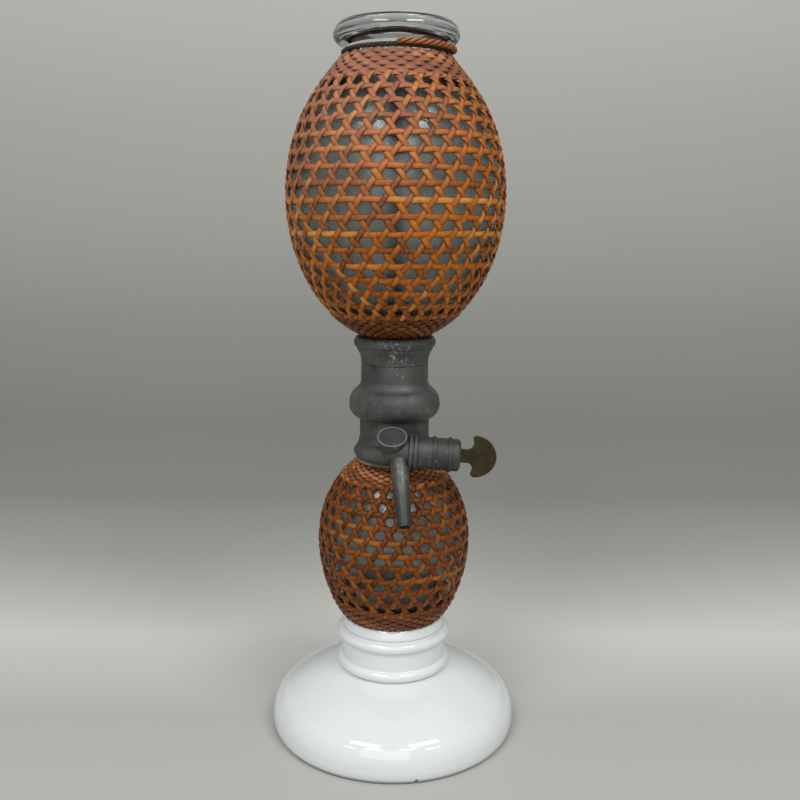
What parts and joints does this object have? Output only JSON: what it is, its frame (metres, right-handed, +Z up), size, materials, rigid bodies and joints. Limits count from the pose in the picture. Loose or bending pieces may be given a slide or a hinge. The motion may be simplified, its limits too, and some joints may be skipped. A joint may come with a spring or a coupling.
{
  "type": "soda siphon",
  "caption": "Cane-covered glass soda siphon with an upper water globe, a lower powder globe, a porcelain foot, and a tin column with a screw tap and spout.",
  "frame": {"origin": "centre of the face that the foot stands on", "axes": "+Z up along the globes' common axis, -Y out of the tap's side, +X towards the wing key"},
  "size_m": [0.1554, 0.1554, 0.4304],
  "materials": {
    "porcelain": "gloss",
    "cement": "matte",
    "glass": "gloss",
    "cane": "satin",
    "tin": "worn matte",
    "brass": "tarnished",
    "leather": "matte",
    "rubber": "matte",
    "packing": "matte"
  },
  "bodies": {
    "base": {"porcelain_foot": "porcelain", "foot_cement": "cement", "lower_globe": "glass", "lower_cane_bottom_band": "cane", "lower_cane_lattice": "cane", "lower_cane_top_band": "cane", "lower_cane_edge": "cane", "lower_neck_cement": "cement", "tap_column": "tin", "tap_plate": "tin", "spout": "tin", "bonnet": "tin", "bonnet_washer": "leather", "gland_packing": "packing", "gland_nut": "tin", "gas_tube": "tin", "gas_plug": "tin", "plug_washer": "rubber"},
    "valve": {"valve_disc": "brass", "valve_leather": "leather"},
    "spindle": {"spindle": "brass", "wing_key": "brass"},
    "gasket": {"coupling_gasket": "rubber"},
    "vessel": {"upper_collar": "tin", "upper_neck_cement": "cement", "upper_globe": "glass", "upper_cane_bottom_band": "cane", "upper_cane_lattice": "cane", "upper_cane_top_band": "cane", "upper_cane_edge": "cane", "upper_rope_tail": "cane"}
  },
  "joints": [
    {"name": "valve_travel", "type": "slide", "parent": "base", "child": "valve", "axis": [0.9976, 0, -0.0698], "range_m": [0, 0.003]},
    {"name": "key_turn", "type": "hinge", "parent": "valve", "child": "spindle", "pos_m": [0, -0.032, 0.1878], "axis": [0.9976, 0, -0.0698], "range_deg": [0, 545]},
    {"name": "vessel_rise", "type": "slide", "parent": "base", "child": "gasket", "axis": [0, 0, 1], "range_m": [0, 0.012]},
    {"name": "vessel_unscrew", "type": "hinge", "parent": "gasket", "child": "vessel", "pos_m": [0, 0, 0.2175], "axis": [0, 0, 1], "range_deg": [0, 1080]}
  ],
  "couplings": [
    {"joint": "key_turn", "follows": "valve_travel", "rad_per_m": 3141.6},
    {"joint": "vessel_rise", "follows": "vessel_unscrew", "m_per_rad": 0.0006366}
  ]
}
